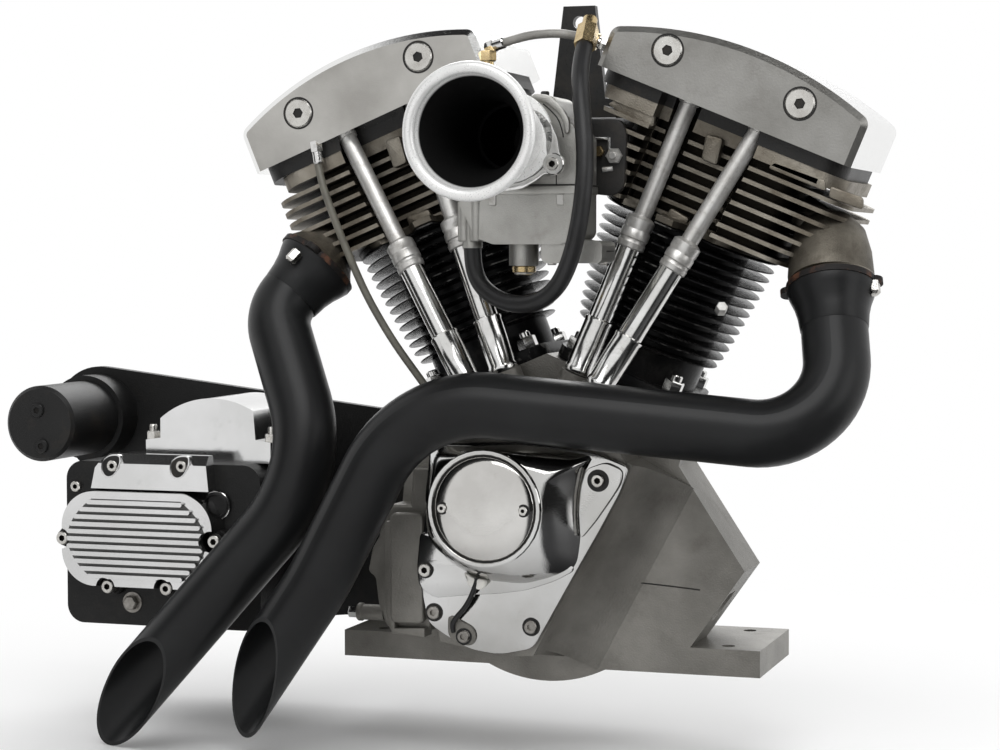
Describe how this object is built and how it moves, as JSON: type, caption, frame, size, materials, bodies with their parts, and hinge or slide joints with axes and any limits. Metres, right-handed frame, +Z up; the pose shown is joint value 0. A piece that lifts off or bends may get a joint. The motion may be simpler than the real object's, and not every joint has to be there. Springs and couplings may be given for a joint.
{
  "type": "V-twin motorcycle engine with gearbox",
  "caption": "Air-cooled V-twin motorcycle power unit: finned cylinders, pushrods, carburettor with open velocity stack, black slash-cut exhaust pipes, open belt drive and gearbox.",
  "frame": {"origin": "middle of the four crankcase foot bolts, on the plane where the feet stand on the frame", "axes": "+X forward, +Y to the rider's left, +Z up"},
  "size_m": [0.8023, 0.4, 0.6278],
  "materials": {
    "cast_case": "grey stained cast alloy",
    "polished_cover": "mirror polished alloy with grime in the corners",
    "polished_cap": "mirror polished with light stains",
    "black_cylinder": "gloss black with bright fin tips",
    "aged_head": "aged oily cast alloy",
    "rusty_flange": "blackened with rust",
    "black_pipe": "satin black heat paint",
    "black_spacer": "black",
    "grey_rocker": "weathered cast alloy",
    "bright_rocker": "brushed satin alloy",
    "worn_chrome": "worn chrome",
    "plug_steel": "zinc plated, one brown with oil",
    "plug_ceramic": "white glazed",
    "black_bracket": "black",
    "dark_manifold": "dark",
    "cast_carb": "fine matt cast alloy",
    "bright_stack": "polished alloy, black inside",
    "grey_hose": "grey braided hose",
    "olive_hose": "olive grey plastic hose",
    "black_hose": "black rubber",
    "black_case": "black with grease",
    "chrome_cover": "chrome plated",
    "black_starter": "satin black",
    "black_plate": "satin black",
    "pulley_alloy": "turned alloy",
    "belt_rubber": "toothed rubber",
    "sprocket_steel": "oily steel",
    "brass_fitting": "tarnished brass"
  },
  "bodies": {
    "engine": {"carburettor": "cast_carb", "crankcase_left": "cast_case", "crankcase_right": "cast_case", "cylinder_front": "black_cylinder", "cylinder_rear": "black_cylinder", "drive_belt": "belt_rubber", "exhaust_flange_front": "rusty_flange", "exhaust_flange_rear": "rusty_flange", "exhaust_pipe_front": "black_pipe", "exhaust_pipe_rear": "black_pipe", "float_bowl": "cast_carb", "fuel_fitting": "brass_fitting", "fuel_hose": "black_hose", "gear_cover": "polished_cover", "gearbox_case": "black_case", "gearbox_side_cover": "chrome_cover", "gearbox_top_cover": "chrome_cover", "head_front": "aged_head", "head_oil_line": "olive_hose", "head_rear": "aged_head", "intake_manifold": "dark_manifold", "motor_plate": "black_plate", "oil_pump": "cast_case", "points_cover": "polished_cap", "pushrod_tubes_front": "worn_chrome", "pushrod_tubes_rear": "worn_chrome", "rocker_box_front": "grey_rocker", "rocker_box_rear": "bright_rocker", "rocker_oil_line": "grey_hose", "rocker_plugs": "plug_steel", "rocker_spacer_front": "black_spacer", "rocker_spacer_rear": "black_spacer", "spark_plugs": "plug_ceramic", "starter": "black_starter", "tappet_block_front": "cast_case", "tappet_block_rear": "cast_case", "top_mount": "black_bracket", "velocity_stack": "bright_stack"},
    "crank_pulley": {"front_pulley": "pulley_alloy"},
    "clutch_drum": {"clutch": "pulley_alloy"},
    "chain_sprocket": {"output_sprocket": "sprocket_steel"}
  },
  "joints": [
    {"name": "clutch_spin", "type": "hinge", "parent": "engine", "child": "clutch_drum", "pos_m": [-0.34, 0.11, 0.105], "axis": [0, 1, 0], "continuous": true},
    {"name": "crank_pulley_spin", "type": "hinge", "parent": "engine", "child": "crank_pulley", "pos_m": [0, 0.11, 0.1], "axis": [0, 1, 0], "continuous": true},
    {"name": "output_sprocket_spin", "type": "hinge", "parent": "engine", "child": "chain_sprocket", "pos_m": [-0.34, 0.06, 0.105], "axis": [0, 1, 0], "continuous": true}
  ],
  "couplings": [
    {"joint": "crank_pulley_spin", "follows": "clutch_spin", "ratio": 1.6596}
  ]
}
